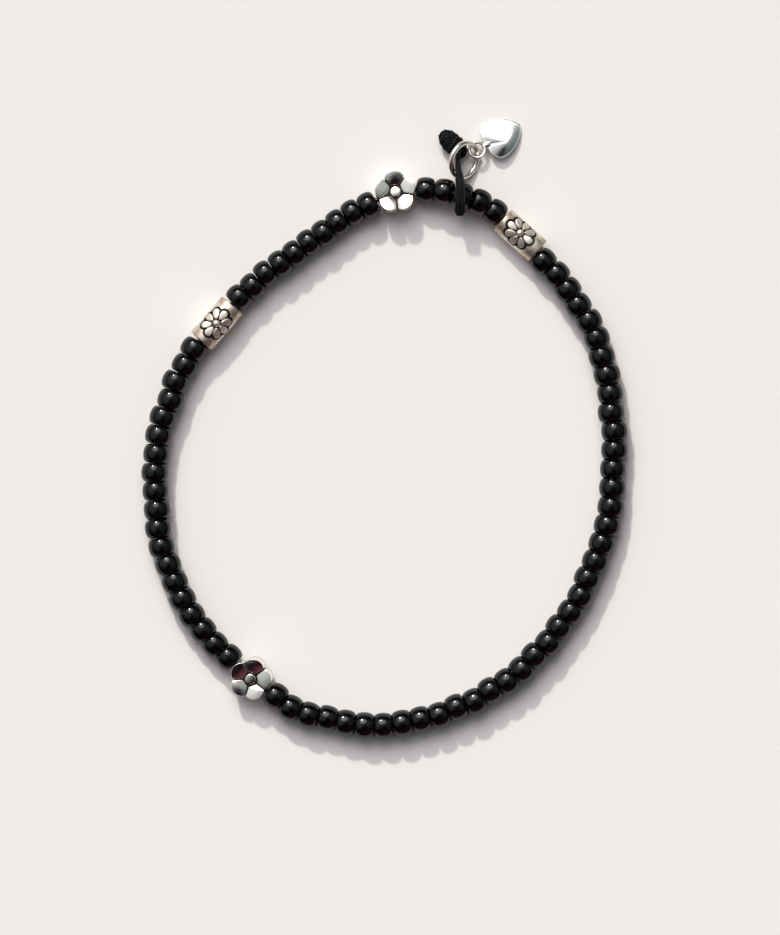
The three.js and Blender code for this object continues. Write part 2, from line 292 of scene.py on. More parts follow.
bpy.ops.mesh.primitive_torus_add(
    major_radius=BEAD_RING_RADIUS, minor_radius=BEAD_GLASS_THICKNESS / 2,
    major_segments=32, minor_segments=16, rotation=(0, math.pi / 2, 0))
bead = active_piece("bead")
bpy.ops.object.transform_apply(location=True, rotation=True, scale=True)
edit_piece(bead, "VERT", lambda vertex: True)
bpy.ops.transform.resize(value=(2 / BEAD_GLASS_THICKNESS, 1, 1))
end_edit()
for end in (-1, 1):
    edit_piece(bead, "VERT", lambda vertex: vertex.co.x * end > CUT_FACE_FROM)
    bpy.ops.transform.resize(value=(CUT_FACE_FLATTER, 1, 1), center_override=(end * CUT_FACE_FROM, 0, 0))
    end_edit()
bead_length = bead.dimensions.x
bpy.ops.object.shade_smooth()

bead_copies = []
for along, pitch in glass_places:
    thickness = 1 + THICKNESS_VARIES * vary()
    askew = Matrix.Rotation(ASKEW_AT_MOST * vary(), 4, "Z")
    aside = Matrix.Translation((0, ASIDE_AT_MOST * vary(), GLASS_RADIUS * (thickness - 1)))
    size = Matrix.Diagonal(((pitch - BEAD_GAP) / bead_length, thickness, thickness, 1))
    copy = bpy.data.objects.new("bead_copy", bead.data.copy())
    scene.collection.objects.link(copy)
    copy.data.transform(string_frame(along) @ aside @ askew @ size)
    bead_copies.append(copy)
bpy.data.objects.remove(bead)
bpy.ops.object.select_all(action="DESELECT")
for copy in bead_copies:
    copy.select_set(True)
bpy.context.view_layer.objects.active = bead_copies[0]
bpy.ops.object.join()
glass_beads = active_piece("glass_beads")
set_in_place(glass_beads, Matrix.Identity(4), black_glass)
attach(glass_beads, "root")
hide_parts("bead_string")

# --- The tube beads -----------------------------------------------------------------------------
# Short silver tubes, each cast with an eight-petalled daisy sunk in its upper side. The silver was
# blackened and rubbed back, so the low places stay black and the rest is worn, with brown tarnish.
TUBE_RADIUS = 1.58
TUBE_LENGTH = 5.45
TUBE_EDGE = 0.12
SILVER_BORE_RADIUS = 0.55
PETALS_ON_TUBE = 8
TUBE_PETAL_REACH = 1.18
TUBE_PETAL_SIZE = (0.63, 0.4)
TUBE_PETAL_TAPER = 0.6
TUBE_PETAL_TOP = 1.6
TUBE_PETAL_EDGE = 0.09
LOBE_REACH = 1.36
LOBE_RADIUS = 0.7
SUNK_DEPTH = 0.24
CUT_DEEPER = 0.2
TUBE_BOSS_RADIUS = 0.46
TUBE_BOSS_BELOW_TOP = 0.34
SHARP_FROM = math.radians(40)
TUBES = [
    {"node": "tube_bead_right", "name": "daisy_tube_right", "daisy_at": (-0.2, 0.2),
     "turn": 4, "inwards": 0.06},
    {"node": "tube_bead_left", "name": "daisy_tube_left", "daisy_at": (-0.05, 0),
     "turn": 0, "inwards": 0.2},
]


def select_only(made):
    bpy.ops.object.select_all(action="DESELECT")
    bpy.context.view_layer.objects.active = made
    made.select_set(True)


def apply_modifier(made, kind, settings):
    """Adds a modifier with its settings and applies it."""
    select_only(made)
    modifier = made.modifiers.new(kind.lower(), kind)
    for name, value in settings.items():
        setattr(modifier, name, value)
    bpy.ops.object.modifier_apply(modifier=modifier.name)


def combine(made, tool, operation):
    """Joins a solid to a piece, or cuts it away, and removes it."""
    apply_modifier(made, "BOOLEAN", {"operation": operation, "solver": "EXACT", "object": tool})
    bpy.data.objects.remove(tool)


def rod_along_x(radius, length, vertices):
    bpy.ops.mesh.primitive_cylinder_add(
        vertices=vertices, radius=radius, depth=length, rotation=(0, math.pi / 2, 0))
    bpy.ops.object.transform_apply(location=True, rotation=True, scale=True)
    return active_piece("rod")


def onto_tube(made, along, around, heading, height):
    """Moves a small solid from the origin to the tube's upper side, along it and around it."""
    turned = Matrix.Translation((0, 0, height)) @ Matrix.Rotation(heading, 4, "Z")
    made.data.transform(
        Matrix.Translation((along, 0, 0)) @ Matrix.Rotation(-around / TUBE_RADIUS, 4, "X") @ turned)


def tube_petal():
    """A teardrop with a flat top and rounded edges, narrow towards the daisy's middle."""
    bpy.ops.mesh.primitive_cylinder_add(vertices=28, radius=1, depth=0.5, location=(0, 0, -0.25))
    petal = active_piece("petal")
    bpy.ops.object.transform_apply(location=True, rotation=True, scale=True)
    edit_piece(petal, "VERT", lambda vertex: True)
    bpy.ops.transform.resize(value=(*TUBE_PETAL_SIZE, 1), center_override=(0, 0, 0))
    end_edit()
    apply_modifier(petal, "SIMPLE_DEFORM", {
        "deform_method": "TAPER", "deform_axis": "X", "factor": TUBE_PETAL_TAPER})
    edit_piece(petal, "FACE", lambda face: face.normal.z > 0.9)
    bpy.ops.mesh.bevel(offset=TUBE_PETAL_EDGE, segments=3, affect="EDGES")
    end_edit()
    return petal


def daisy_tube(name, daisy_along, daisy_around):
    """A bored tube along X at the origin, with a sunk daisy off its middle by the distances given."""
    tube = rod_along_x(TUBE_RADIUS, TUBE_LENGTH, vertices=96)
    edit_piece(tube, "FACE", lambda face: abs(face.normal.x) > 0.9)
    bpy.ops.mesh.bevel(offset=TUBE_EDGE, segments=3, affect="EDGES")
    end_edit()
    for petal_number in range(PETALS_ON_TUBE):
        heading = 2 * math.pi * petal_number / PETALS_ON_TUBE
        bpy.ops.mesh.primitive_cylinder_add(
            vertices=32, radius=LOBE_RADIUS, depth=2 * (SUNK_DEPTH + CUT_DEEPER))
        lobe = active_piece("lobe")
        onto_tube(lobe, daisy_along + LOBE_REACH * math.cos(heading),
                  daisy_around + LOBE_REACH * math.sin(heading), 0, TUBE_RADIUS)
        combine(tube, lobe, "DIFFERENCE")
    bpy.ops.mesh.primitive_cylinder_add(vertices=48, radius=LOBE_REACH, depth=2)
    middle_cut = active_piece("middle_cut")
    onto_tube(middle_cut, daisy_along, daisy_around, 0, 2)
    combine(tube, middle_cut, "DIFFERENCE")
    floor_sleeve = rod_along_x(TUBE_RADIUS - SUNK_DEPTH, TUBE_LENGTH - 2 * TUBE_EDGE, vertices=64)
    combine(tube, floor_sleeve, "UNION")
    for petal_number in range(PETALS_ON_TUBE):
        heading = 2 * math.pi * petal_number / PETALS_ON_TUBE
        petal = tube_petal()
        onto_tube(petal, daisy_along + TUBE_PETAL_REACH * math.cos(heading),
                  daisy_around + TUBE_PETAL_REACH * math.sin(heading), heading, TUBE_PETAL_TOP)
        combine(tube, petal, "UNION")
    bpy.ops.mesh.primitive_uv_sphere_add(segments=24, ring_count=12, radius=TUBE_BOSS_RADIUS)
    boss = active_piece("boss")
    onto_tube(boss, daisy_along, daisy_around, 0, TUBE_RADIUS - TUBE_BOSS_BELOW_TOP)
    combine(tube, boss, "UNION")
    bore = rod_along_x(SILVER_BORE_RADIUS, TUBE_LENGTH + 2, vertices=32)
    combine(tube, bore, "DIFFERENCE")
    select_only(tube)
    bpy.ops.object.shade_smooth_by_angle(angle=SHARP_FROM)
    return active_piece(name)


def antiqued_silver(name, place):
    """Blackened silver rubbed back, for a tube bead in that place, with which its pattern turns.

    The eye sees a satin cream metal with dents 0.3 mm apart, tarnished brown in patches of 1 mm, mostly
    towards the ends, and a black outline round each petal.
    """
    material, tree, shader = new_material(name)
    where = add_node(tree, "ShaderNodeTexCoord", {}, {})
    on_bead = add_node(tree, "ShaderNodeMapping", {"vector_type": "TEXTURE"}, {
        "Vector": where.outputs["Object"], "Location": place.translation * MM,
        "Rotation": place.to_euler(), "Scale": (MM, MM, MM)})
    apart = add_node(tree, "ShaderNodeSeparateXYZ", {}, {"Vector": on_bead.outputs[0]})
    across = add_node(tree, "ShaderNodeCombineXYZ", {}, {
        "Y": apart.outputs["Y"], "Z": apart.outputs["Z"]})
    from_axis = add_node(tree, "ShaderNodeVectorMath", {"operation": "LENGTH"}, {0: across.outputs[0]})
    sunk = add_node(tree, "ShaderNodeMapRange", {"interpolation_type": "SMOOTHSTEP"}, {
        "Value": from_axis.outputs["Value"], "From Min": TUBE_RADIUS - 0.05,
        "From Max": TUBE_RADIUS - 0.16, "To Min": 0.0, "To Max": 1.0})
    lengthwise = add_node(tree, "ShaderNodeMath", {"operation": "ABSOLUTE"}, {0: apart.outputs["X"]})
    off_ends = add_node(tree, "ShaderNodeMapRange", {}, {
        "Value": lengthwise.outputs[0], "From Min": TUBE_LENGTH / 2 - 0.1,
        "From Max": TUBE_LENGTH / 2 - 0.2, "To Min": 0.0, "To Max": 1.0})
    oxide = add_node(tree, "ShaderNodeMath", {"operation": "MULTIPLY"}, {
        0: sunk.outputs[0], 1: off_ends.outputs[0]})
    blotches = add_node(tree, "ShaderNodeTexNoise", {}, {
        "Vector": on_bead.outputs[0], "Scale": 0.9, "Detail": 3.0, "Roughness": 0.6})
    near_ends = add_node(tree, "ShaderNodeMapRange", {"interpolation_type": "SMOOTHSTEP"}, {
        "Value": lengthwise.outputs[0], "From Min": 0.9, "From Max": 2.4, "To Min": 0.0, "To Max": 0.3})
    stained = add_node(tree, "ShaderNodeMath", {"operation": "ADD"}, {
        0: blotches.outputs[0], 1: near_ends.outputs[0]})
    tarnish = add_node(tree, "ShaderNodeMapRange", {"interpolation_type": "SMOOTHSTEP"}, {
        "Value": stained.outputs[0], "From Min": 0.6, "From Max": 0.85, "To Min": 0.0, "To Max": 0.75})
    worn = add_node(tree, "ShaderNodeMix", {"data_type": "RGBA"}, {
        "Factor": tarnish.outputs[0], 6: linear("#e6ddcf"), 7: linear("#ab937b")})
    colour = add_node(tree, "ShaderNodeMix", {"data_type": "RGBA"}, {
        "Factor": oxide.outputs[0], 6: worn.outputs[2], 7: linear("#0d0b09")})
    rubbing_and_painted_sheen = add_node(tree, "ShaderNodeMapRange", {}, {
        "Value": blotches.outputs[0], "From Min": 0.3, "From Max": 0.7, "To Min": 0.42, "To Max": 0.52})
    metal = add_node(tree, "ShaderNodeMath", {"operation": "SUBTRACT"}, {0: 1.0, 1: oxide.outputs[0]})
    dents = add_node(tree, "ShaderNodeTexNoise", {}, {
        "Vector": on_bead.outputs[0], "Scale": 3.0, "Detail": 4.0, "Roughness": 0.6})
    dent_bump = add_node(tree, "ShaderNodeBump", {}, {
        "Strength": 0.6, "Distance": 0.00003, "Height": dents.outputs[0]})
    for socket, value in (("Base Color", colour.outputs[2]), ("Roughness", rubbing_and_painted_sheen.outputs[0]),
                          ("Metallic", metal.outputs[0]), ("Normal", dent_bump.outputs[0])):
        tree.links.new(value, shader.inputs[socket])
    return material


def silver_place(node, roll, turn, inwards):
    """A silver bead's place on the string, rolled, turned askew and moved inwards as its bore allows."""
    askew = Matrix.Rotation(turn, 4, "Z") @ Matrix.Rotation(roll, 4, "X")
    return string_frame(silver_places[node]) @ Matrix.Translation((0, -inwards, 0)) @ askew


for row in TUBES:
    tube = daisy_tube(row["name"], *row["daisy_at"])
    place = silver_place(row["node"], 0, math.radians(row["turn"]), row["inwards"])
    place.translation.z = TUBE_RADIUS
    set_in_place(tube, place, antiqued_silver("antiqued_silver_of_" + row["name"], place))
    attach(tube, "root")
    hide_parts(row["node"])

# --- The flower beads ---------------------------------------------------------------------------
# Cast silver flowers, polished bright. Five petals with flat faces that slope to the boss stand a
# hair apart, with black left in the grooves between them. Both faces are alike.
FLOWER_PETALS = 5
FLOWER_HALF_THICKNESS = 1.3
PETAL_CENTRE = 1.15
PETAL_RADIUS = 1.26
PETAL_SLOPE = math.radians(13)
PETAL_FOOT = 0.8
GROOVE_HALF_WIDTH = 0.085
PETAL_EDGE = 0.07
FLOWER_BOSS_RADIUS = 0.62
FLOWER_BOSS_HALF_THICKNESS = 1.0
FLOWER_BOSS_EDGE = 0.14
CORE_RADIUS = 1.86
CORE_HALF_THICKNESS = 0.66
BORE_TOOL_LENGTH = 8
FLOWERS = [
    {"node": "flower_bead_upper", "name": "silver_flower_upper", "petal_heading": 10, "lean": -8},
    {"node": "flower_bead_lower", "name": "silver_flower_lower", "petal_heading": 5, "lean": -9},
]


def flower_petal():
    """One petal from below to above: a round lobe cut back to its share of the flower."""
    bpy.ops.mesh.primitive_cylinder_add(
        vertices=48, radius=PETAL_RADIUS, depth=2 * FLOWER_HALF_THICKNESS, location=(PETAL_CENTRE, 0, 0))
    petal = active_piece("petal")
    bpy.ops.object.transform_apply(location=True, rotation=True, scale=True)
    half_share = math.pi / FLOWER_PETALS
    sides = [Vector((-math.sin(half_share), side * math.cos(half_share), 0)) for side in (-1, 1)]
    cuts = [(-GROOVE_HALF_WIDTH * outwards, outwards) for outwards in sides]
    cuts.append((Vector((PETAL_FOOT, 0, 0)), Vector((-1, 0, 0))))
    tip = Vector((PETAL_CENTRE + PETAL_RADIUS, 0, FLOWER_HALF_THICKNESS))
    for face in (-1, 1):
        up = Vector((-math.sin(PETAL_SLOPE), 0, face * math.cos(PETAL_SLOPE)))
        cuts.append((Vector((tip.x, 0, face * tip.z)), up))
    for point, outwards in cuts:
        edit_piece(petal, "VERT", lambda vertex: True)
        bpy.ops.mesh.bisect(plane_co=point, plane_no=outwards, use_fill=True, clear_outer=True)
        end_edit()
    edit_piece(petal, "EDGE", lambda edge: edge.calc_face_angle(0) > math.radians(30))
    bpy.ops.mesh.bevel(offset=PETAL_EDGE, segments=3, affect="EDGES")
    end_edit()
    return petal


def flower(name, petal_heading):
    """A five-petalled bead in the plane z = 0, bored through along X."""
    bpy.ops.mesh.primitive_cylinder_add(vertices=64, radius=CORE_RADIUS, depth=2 * CORE_HALF_THICKNESS)
    bloom = active_piece(name)
    for petal_number in range(FLOWER_PETALS):
        petal = flower_petal()
        heading = math.radians(petal_heading) + 2 * math.pi * petal_number / FLOWER_PETALS
        petal.data.transform(Matrix.Rotation(heading, 4, "Z"))
        combine(bloom, petal, "UNION")
    bpy.ops.mesh.primitive_cylinder_add(
        vertices=48, radius=FLOWER_BOSS_RADIUS, depth=2 * FLOWER_BOSS_HALF_THICKNESS)
    boss = active_piece("boss")
    edit_piece(boss, "FACE", lambda face: abs(face.normal.z) > 0.9)
    bpy.ops.mesh.bevel(offset=FLOWER_BOSS_EDGE, segments=4, affect="EDGES")
    end_edit()
    combine(bloom, boss, "UNION")
    combine(bloom, rod_along_x(SILVER_BORE_RADIUS, BORE_TOOL_LENGTH, vertices=32), "DIFFERENCE")
    select_only(bloom)
    bpy.ops.object.shade_smooth_by_angle(angle=SHARP_FROM)
    return bloom


def polished_silver(name, place, tint, smoothest, grooved):
    """Silver polished to a mirror, with fine dents 0.6 mm apart that break up what it reflects.

    The smoothest is its roughness where it is rubbed most. If grooved, the grooves of a flower stay a
    dull black.
    """
    material, tree, shader = new_material(name)
    where = add_node(tree, "ShaderNodeTexCoord", {}, {})
    on_piece = add_node(tree, "ShaderNodeMapping", {"vector_type": "TEXTURE"}, {
        "Vector": where.outputs["Object"], "Location": place.translation * MM,
        "Rotation": place.to_euler(), "Scale": (MM, MM, MM)})
    dents = add_node(tree, "ShaderNodeTexNoise", {}, {
        "Vector": on_piece.outputs[0], "Scale": 1.6, "Detail": 3.0, "Roughness": 0.55})
    dent_bump = add_node(tree, "ShaderNodeBump", {}, {
        "Strength": 0.35, "Distance": 0.00004, "Height": dents.outputs[0]})
    rubbing_and_painted_sheen = add_node(tree, "ShaderNodeMapRange", {}, {
        "Value": dents.outputs[0], "From Min": 0.3, "From Max": 0.7,
        "To Min": smoothest, "To Max": smoothest + 0.08})
    shader.inputs["Metallic"].default_value = 1.0
    tree.links.new(rubbing_and_painted_sheen.outputs[0], shader.inputs["Roughness"])
    tree.links.new(dent_bump.outputs[0], shader.inputs["Normal"])
    shader.inputs["Base Color"].default_value = linear(tint)
    if grooved:
        apart = add_node(tree, "ShaderNodeSeparateXYZ", {}, {"Vector": on_piece.outputs[0]})
        height = add_node(tree, "ShaderNodeMath", {"operation": "ABSOLUTE"}, {0: apart.outputs["Z"]})
        across = add_node(tree, "ShaderNodeCombineXYZ", {}, {
            "X": apart.outputs["X"], "Y": apart.outputs["Y"]})
        from_axis = add_node(tree, "ShaderNodeVectorMath", {"operation": "LENGTH"}, {
            0: across.outputs[0]})
        outer = add_node(tree, "ShaderNodeMath", {"operation": "SUBTRACT"}, {
            0: PETAL_CENTRE + PETAL_RADIUS, 1: from_axis.outputs["Value"]})
        fall = add_node(tree, "ShaderNodeMath", {"operation": "MULTIPLY_ADD"}, {
            0: outer.outputs[0], 1: -math.tan(PETAL_SLOPE), 2: FLOWER_HALF_THICKNESS})
        depth = add_node(tree, "ShaderNodeMath", {"operation": "SUBTRACT"}, {
            0: fall.outputs[0], 1: height.outputs[0]})
        sunk = add_node(tree, "ShaderNodeMapRange", {"interpolation_type": "SMOOTHSTEP"}, {
            "Value": depth.outputs[0], "From Min": 0.09, "From Max": 0.19, "To Min": 0.0, "To Max": 1.0})
        inside = add_node(tree, "ShaderNodeMapRange", {}, {
            "Value": from_axis.outputs["Value"], "From Min": CORE_RADIUS + 0.12,
            "From Max": CORE_RADIUS + 0.06, "To Min": 0.0, "To Max": 1.0})
        oxide = add_node(tree, "ShaderNodeMath", {"operation": "MULTIPLY"}, {
            0: sunk.outputs[0], 1: inside.outputs[0]})
        colour = add_node(tree, "ShaderNodeMix", {"data_type": "RGBA"}, {
            "Factor": oxide.outputs[0], 6: linear(tint), 7: linear("#0b0908")})
        metal = add_node(tree, "ShaderNodeMath", {"operation": "SUBTRACT"}, {
            0: 1.0, 1: oxide.outputs[0]})
        dull = add_node(tree, "ShaderNodeMath", {"operation": "MULTIPLY_ADD"}, {
            0: oxide.outputs[0], 1: 0.6, 2: rubbing_and_painted_sheen.outputs[0]})
        tree.links.new(dull.outputs[0], shader.inputs["Roughness"])
        tree.links.new(colour.outputs[2], shader.inputs["Base Color"])
        tree.links.new(metal.outputs[0], shader.inputs["Metallic"])
    return material


for row in FLOWERS:
    bloom = flower(row["name"], row["petal_heading"])
    place = silver_place(row["node"], math.radians(row["lean"]), 0, 0)
    place.translation.z = -min((place.to_3x3() @ vertex.co).z for vertex in bloom.data.vertices)
    silver = polished_silver(
        "polished_silver_of_" + row["name"], place, "#f7efe4", smoothest=0.06, grooved=True)
    set_in_place(bloom, place, silver)
    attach(bloom, "root")
    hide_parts(row["node"])

# --- The cord loop ------------------------------------------------------------------------------
# Thin braided polyester cord, doubled, passed round one bead and knotted beside it. Six yarns cross
# over and under each other. The knot is an oval wound of both strands, with one end cut short.
CORD_RADIUS = 0.3
WRAP_RADIUS = 2.04
WRAP_TURNS = [
    {"angle": 70, "middle": -0.2, "half_apart": 0.27},
    {"angle": 108, "middle": -0.22, "half_apart": 0.31},
    {"angle": 142, "middle": -0.26, "half_apart": 0.36},
    {"angle": 162, "middle": -0.26, "half_apart": 0.28},
    {"angle": 184, "middle": -0.26, "half_apart": 0.12},
    {"angle": 225, "middle": -0.25, "half_apart": 0.16},
    {"angle": 270, "middle": -0.24, "half_apart": 0.22},
]
FLOOR_GAP = 0.04
KNOT_MIDDLE = Vector((-1.04, 6.01, 1.02))
KNOT_AXIS = Vector((0.704, -0.71, 0))
KNOT_ACROSS = Vector((0, 0, 1)).cross(KNOT_AXIS)
KNOT_HALF_LENGTH = 2.08
KNOT_HALF_WIDTH = 1.24
KNOT_FLATNESS = 0.76
KNOT_TURNS = 2.6
KNOT_STEPS_A_TURN = 14
KNOT_WOUND_SHARE = 0.94
KNOT_SQUARENESS = 2.5
KNOT_FILLING_INSIDE = 0.1
STRANDS_ENTER_AT = 0.9
CUT_END = Vector((0.02, 6.55, 1.1))
BRAID_PITCH = 0.9
YARNS_EACH_WAY = 3
YARN_RADIUS = 0.1
YARN_SWING = 0.055
YARN_SIDES = 8
BRAID_CORE_RADIUS = 0.19
BRAID_STEP = 0.06
CURVE_DIVISIONS = 24


def smooth_line(points, spacing):
    """Evenly spaced points on a smooth curve through the given points."""
    held = [points[0], *points, points[-1]]
    fine = []
    for around in zip(held, held[1:], held[2:], held[3:]):
        for i in range(CURVE_DIVISIONS):
            fine.append(between(*around, i / CURVE_DIVISIONS))
    fine.append(points[-1])
    lengths = [0.0]
    for start, end in zip(fine, fine[1:]):
        lengths.append(lengths[-1] + (end - start).length)
    count = max(2, round(lengths[-1] / spacing))
    even = []
    for step in range(count + 1):
        along = lengths[-1] * step / count
        i = min(bisect.bisect_right(lengths, along), len(fine) - 1) - 1
        even.append(fine[i].lerp(fine[i + 1], (along - lengths[i]) / (lengths[i + 1] - lengths[i])))
    return even


def carried_frames(line):
    """A frame at each point of a line, turned as little as possible from one to the next."""
    frames = []
    side = Vector((1, 0, 0))
    for i, point in enumerate(line):
        ahead = (line[min(i + 1, len(line) - 1)] - line[max(i - 1, 0)]).normalized()
        side = (side - side.dot(ahead) * ahead).normalized()
        frames.append((point, side, ahead.cross(side)))
    return frames


def sweep(mesh, line, radius, sides, axis):
    """Adds a closed round rod along a line. Each vertex keeps how far out from the cord's axis it lies."""
    crown = mesh.verts.layers.float.get("crown") or mesh.verts.layers.float.new("crown")
    rings = []
    for (point, side, up), middle in zip(carried_frames(line), axis):
        ring = []
        for i in range(sides):
            angle = 2 * math.pi * i / sides
            vertex = mesh.verts.new(point + radius * (math.cos(angle) * side + math.sin(angle) * up))
            vertex[crown] = (vertex.co - middle).length / CORD_RADIUS
            ring.append(vertex)
        rings.append(ring)
    for ring, following in zip(rings, rings[1:]):
        for i in range(sides):
            j = (i + 1) % sides
            mesh.faces.new((ring[i], ring[j], following[j], following[i]))
    mesh.faces.new(reversed(rings[0]))
    mesh.faces.new(rings[-1])


def braid(mesh, points):
    """Adds a braided cord along a line: yarns run both ways round it, over one and under one."""
    line = smooth_line(points, BRAID_STEP)
    middle_radius = CORD_RADIUS - YARN_RADIUS - YARN_SWING
    for way in (-1, 1):
        for number in range(YARNS_EACH_WAY):
            yarn = []
            for step, (point, side, up) in enumerate(carried_frames(line)):
                turn = 2 * math.pi * step * BRAID_STEP / BRAID_PITCH
                angle = way * turn + math.pi * (2 * number + 1) / YARNS_EACH_WAY
                radius = middle_radius + way * YARN_SWING * math.cos(YARNS_EACH_WAY * turn)
                yarn.append(point + radius * (math.cos(angle) * side + math.sin(angle) * up))
            sweep(mesh, yarn, YARN_RADIUS, YARN_SIDES, line)
    sweep(mesh, line, BRAID_CORE_RADIUS, YARN_SIDES, line)


def strand_points(side):
    """One of the two strands: from the knot over the bead, round it and back under to the knot."""
    entry = KNOT_MIDDLE + STRANDS_ENTER_AT * KNOT_AXIS
    points = [
        entry + Vector((0, 0, 0.25 * side)),
        Vector((-0.4, 4.75, 1.4 + 0.3 * side)),
        Vector((-0.46 + 0.04 * side, 4.0, 2.05 + 0.28 * side)),
        Vector((-0.42 + 0.09 * side, 3.0, 2.85 + 0.2 * side)),
        Vector((-0.26 + 0.24 * side, 1.75, 3.72 + 0.06 * side)),
    ]
    for turn in WRAP_TURNS:
        angle = math.radians(turn["angle"])
        points.append(Vector((turn["middle"] + side * turn["half_apart"], WRAP_RADIUS * math.cos(angle),
                              TIED_HEIGHT + WRAP_RADIUS * math.sin(angle))))
    points += [
        Vector((-0.3 + 0.2 * side, 1.75, CORD_RADIUS + FLOOR_GAP)),
        Vector((-0.46 + 0.08 * side, 3.4, CORD_RADIUS + FLOOR_GAP + 0.2 + 0.2 * side)),
        entry + Vector((0, 0.1, -0.45 + 0.1 * side)),
    ]
    return points


def knot_fullness(along):
    """How wide the knot is at a share of its half length, against its middle."""
    return (1 - abs(along) ** KNOT_SQUARENESS) ** 0.5


def in_knot(along, across, above):
    """A point in the knot by its distances from the middle, before the knot is flattened."""
    return (KNOT_MIDDLE + along * KNOT_AXIS + across * KNOT_ACROSS
            + Vector((0, 0, KNOT_FLATNESS * above)))


def knot_points(strand):
    """One strand's turns in the knot, wound beside the other's round a flattened oval."""
    reach = KNOT_HALF_LENGTH - CORD_RADIUS
    steps = round(KNOT_STEPS_A_TURN * KNOT_TURNS)
    points = []
    for step in range(steps + 1):
        angle = 2 * math.pi * KNOT_TURNS * step / steps + math.pi * strand
        along = KNOT_WOUND_SHARE * reach * (2 * step / steps - 1)
        radius = (KNOT_HALF_WIDTH - CORD_RADIUS) * knot_fullness(along / reach)
        points.append(in_knot(along, radius * math.cos(angle), radius * math.sin(angle)))
    return points


cord_mesh = bmesh.new()
braid(cord_mesh, strand_points(-1))
braid(cord_mesh, strand_points(1))
braid(cord_mesh, knot_points(0))
braid(cord_mesh, knot_points(1))
braid(cord_mesh, [KNOT_MIDDLE, KNOT_MIDDLE.lerp(CUT_END, 0.5), CUT_END])
filling = bmesh.ops.create_uvsphere(cord_mesh, u_segments=40, v_segments=32, radius=1)["verts"]
for vertex in filling:
    around = Vector((vertex.co.x, vertex.co.y)).normalized()
    radius = (KNOT_HALF_WIDTH - KNOT_FILLING_INSIDE) * knot_fullness(min(1, max(-1, vertex.co.z)))
    along = (KNOT_HALF_LENGTH - KNOT_FILLING_INSIDE) * vertex.co.z
    vertex.co = in_knot(along, radius * around.x, radius * around.y)
braided_cord = bpy.data.objects.new("braided_cord", bpy.data.meshes.new("braided_cord"))
cord_mesh.to_mesh(braided_cord.data)
cord_mesh.free()
scene.collection.objects.link(braided_cord)
select_only(braided_cord)
bpy.ops.object.shade_smooth()

# Polyester yarn dyed black, nearly as dark as the glass between the yarns. Its own gloss is kept weak and
# a painted sheen
# stands in for it: the yarns' outermost tops are painted grey, so that each crossing shows as a light dot.
# Its fibres are drawn coarser than real, 0.08 mm apart.
braid_yarn, tree, shader = new_material("black_polyester_yarn")
crown = add_node(tree, "ShaderNodeAttribute", {"attribute_name": "crown"}, {})
# Painted sheen: the outermost tops of the yarns are painted grey in place of their glints.
rubbing_and_painted_sheen = add_node(tree, "ShaderNodeMapRange", {"interpolation_type": "SMOOTHSTEP"}, {
    "Value": crown.outputs["Fac"], "From Min": 0.92, "From Max": 0.97, "To Min": 0.0, "To Max": 1.0})
dye_and_painted_sheen = add_node(tree, "ShaderNodeMix", {"data_type": "RGBA"}, {
    "Factor": rubbing_and_painted_sheen.outputs[0], 6: linear("#020202"), 7: linear("#7e7e80")})
tree.links.new(dye_and_painted_sheen.outputs[2], shader.inputs["Base Color"])
shader.inputs["Roughness"].default_value = 0.55
shader.inputs["Specular IOR Level"].default_value = 0.08
fibre = add_node(tree, "ShaderNodeTexNoise", {}, {"Scale": 12000, "Detail": 1.0})
fibre_bump = add_node(tree, "ShaderNodeBump", {}, {
    "Strength": 0.5, "Distance": 0.00002, "Height": fibre.outputs[0]})
tree.links.new(fibre_bump.outputs[0], shader.inputs["Normal"])
tied_point = string_point(TIED_ALONG)
charm_place = Matrix.Translation((tied_point.x, tied_point.y, 0))
set_in_place(braided_cord, charm_place, braid_yarn)
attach(braided_cord, "root")
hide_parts("cord_loop")

# --- The jump ring ------------------------------------------------------------------------------
# A ring of polished silver wire, soldered shut. It lies over the knot's neck, under the strands of
# the cord, and dips through the heart's eye.
RING_PLACE = Vector((0.26, 4.16, 1.76))
RING_RADIUS = 2.02
RING_WIRE = 0.3
RING_LEAN = math.radians(45)
RING_LEANS_TOWARDS = math.radians(158)

bpy.ops.mesh.primitive_torus_add(
    major_radius=RING_RADIUS, minor_radius=RING_WIRE, major_segments=96, minor_segments=20)
jump_ring = active_piece("wire_ring")
bpy.ops.object.shade_smooth()
hinge = Vector((math.sin(RING_LEANS_TOWARDS), -math.cos(RING_LEANS_TOWARDS), 0))
ring_place = charm_place @ Matrix.Translation(RING_PLACE) @ Matrix.Rotation(RING_LEAN, 4, hinge)
wire_silver = polished_silver(
    "polished_silver_wire", ring_place, "#f3ebe1", smoothest=0.18, grooved=False)
set_in_place(jump_ring, ring_place, wire_silver)
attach(jump_ring, "root")
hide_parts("jump_ring")

# --- The heart charm ----------------------------------------------------------------------------
# A puffed heart stamped from silver sheet, with a flat back, a thin edge and a bare face. A wire eye is
# soldered into its cleft.
EYE_PLACE = Vector((1.75, 5.34, 0.98))
EYE_RADIUS = 0.9
EYE_WIRE = 0.2
HEART_TIP = 5.78
HEART_LENGTH = 4.65
HEART_HALF_WIDTH = 2.28
HEART_CLEFT = 0.938
HEART_DOME = 0.55
HEART_TURN = Euler((math.radians(-6), math.radians(7), math.radians(30)), "XYZ")
HEART_BELLY = (HEART_TIP - 0.5 * HEART_LENGTH, -0.95, 0)
HEART_FULLNESS = 1.3
HEART_EDGE = [{"drawn_in": 0.974, "rise": 0.048}, {"drawn_in": 0.955, "rise": 0.0}]
HEART_BACK = [{"drawn_in": 1.0, "fall": 0.07}, {"drawn_in": 0.98, "fall": 0.07},
              {"drawn_in": 0.94, "fall": 0.04}]
HEART_RINGS = 12
HEART_LAST_RING = 0.02
HEART_SMOOTHING = 110
SOLDER_SIZE = (0.72, 0.4, 0.22)
SOLDER_BEYOND_EYE = 0.4


